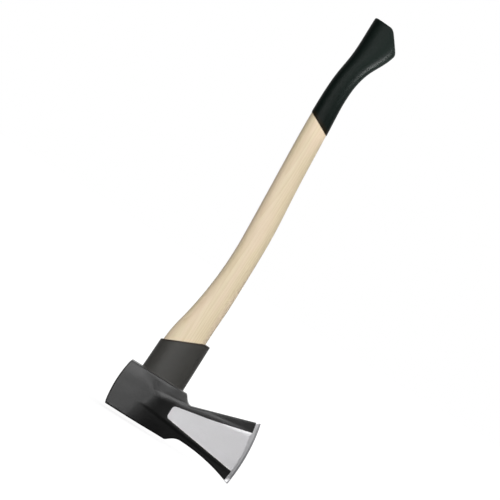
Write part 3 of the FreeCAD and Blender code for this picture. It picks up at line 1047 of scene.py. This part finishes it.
# %% Guard skin
GUARD_BACK, GUARD_FRONT, GUARD_HALF = -36.2, 35.0, 20.5
BACK_TAPER, SIDE_TAPER = 2.7, 1.2
FOOT_FLARE, FOOT_HEIGHT = guard_high[0] - GUARD_FRONT, 2.5
LIP_RADIUS = 1.1
FOOT_GAP, WOOD_GAP = 0.02, 0.1  # the sleeve's gaps to the head and to the handle
INNER_DROP = 0.25  # the rim's inner corner is broken by this much


def guard_section(z, inset=0.0):
    """Back, front and half thickness of the sleeve at the heights z."""
    share = (z - BLOCK_TOP) / (CREST - BLOCK_TOP)
    flare = FOOT_FLARE * np.clip(1 - (z - BLOCK_TOP) / FOOT_HEIGHT, 0, 1) ** 2 - inset
    return np.stack([GUARD_BACK + BACK_TAPER * share - flare, GUARD_FRONT + flare + 0 * share,
                     GUARD_HALF - SIDE_TAPER * share + flare], -1)


def guard_grid():
    """Rows up the outside, over the quarter round of the rim, in to the wood and down the bore."""
    base = BLOCK_TOP + FOOT_GAP
    plain = oval(GUARD_BACK, GUARD_FRONT, GUARD_HALF)
    rim_outline = oval_lines(guard_section(guard_rim(plain[:, 0])))
    top = guard_rim(rim_outline[:, 0]) - LIP_RADIUS
    climb = np.concatenate([np.linspace(0, 0.05, 8), np.linspace(0.05, 1, 40)[1:]])
    rows = []
    for share in climb:
        z = base + (top - base) * share
        rows.append(at_level(oval_lines(guard_section(z)), z))
    for turn in np.linspace(0, math.pi / 2, 7)[1:]:
        line = oval_lines(guard_section(top, LIP_RADIUS * (1 - math.cos(turn))))
        rows.append(at_level(line, guard_rim(line[:, 0]) - LIP_RADIUS * (1 - math.sin(turn))))
    outer = rows[-1][:, :2]
    wall = oval_lines(section_at(guard_rim(outer[:, 0])), WOOD_GAP)
    for q in (0.35, 0.7, 0.9, 1.0):
        line = outer * (1 - q) + wall * q
        rows.append(at_level(line, guard_rim(line[:, 0]) - INNER_DROP * (q == 1.0)))
    top = rows[-1][:, 2]
    rows += [at_heights(top + (base - top) * share, WOOD_GAP)
             for share in np.linspace(0, 1, 22)[1:]]
    return np.array(rows)


guard_points = guard_grid()
guard = skin("guard_sleeve", guard_points, looped=True,
             attributes={"below_rim": guard_rim(guard_points[..., 0]) - guard_points[..., 2]})
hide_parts("overstrike_guard")

# %% Guard material
def make_guard_material():
    """Moulded plastic with an eroded grain, and painted shade in brown along its rim."""
    shader = Shader("moulded plastic")
    grain = shader.noise(shader.place(), 1.6, detail=3.0)
    cloud = shader.noise(shader.place(), 0.08)
    colour = shader.blend(cloud, rgb(60, 59, 57), rgb(67, 66, 63))
    # painted shade: a brown band darkens the sleeve just below its rim, where the rounded lip turns
    # in towards the wood
    rim = shader.step(shader.attribute("below_rim"), 0.6, 3.6, 0.75, 0.0)
    colour = shader.blend(rim, colour, rgb(38, 27, 18))
    relief = shader.bump(grain, 0.05, 0.5)
    rough = shader.step(grain, 0.3, 0.7, 0.4, 0.48)
    return shader.finish(Base_Color=colour, Roughness=rough, Specular_IOR_Level=0.2, Normal=relief)


wear(guard, make_guard_material())

# %% [markdown]
# ## The wedges in the eye
#
# Under the head the tenon's end shows how it is locked: a hardwood wedge spreads it sideways and
# a steel ring, driven in last, spreads it all round. The CAD solids already have the right
# shape, so only their finish is made here.

# %% Wedge materials
def make_wedge_material():
    """The same kind of wood, darker and nearer to its pith."""
    shader, colour, relief = make_wood("wedge hardwood", rgb(176, 138, 96), rgb(140, 100, 62),
                                       rgb(160, 120, 80), pith=(12.0, 40.0))
    return shader.finish(Base_Color=colour, Roughness=0.6, Normal=relief)


def make_ring_material():
    """Plain steel with faint marks of turning."""
    shader = Shader("ring steel")
    turned = shader.noise(shader.place(), 1.4, detail=3.0)
    colour = shader.blend(turned, rgb(120, 118, 115), rgb(150, 148, 146))
    rough = shader.step(turned, 0.3, 0.7, 0.35, 0.5)
    return shader.finish(Base_Color=colour, Metallic=1.0, Roughness=rough,
                         Normal=shader.bump(turned, 0.02, 0.5))


wear(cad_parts["wooden_wedge"], make_wedge_material())
wear(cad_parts["ring_wedge"], make_ring_material())
print("pieces", sorted(piece.name for piece in (head, guard, handle, coat)))
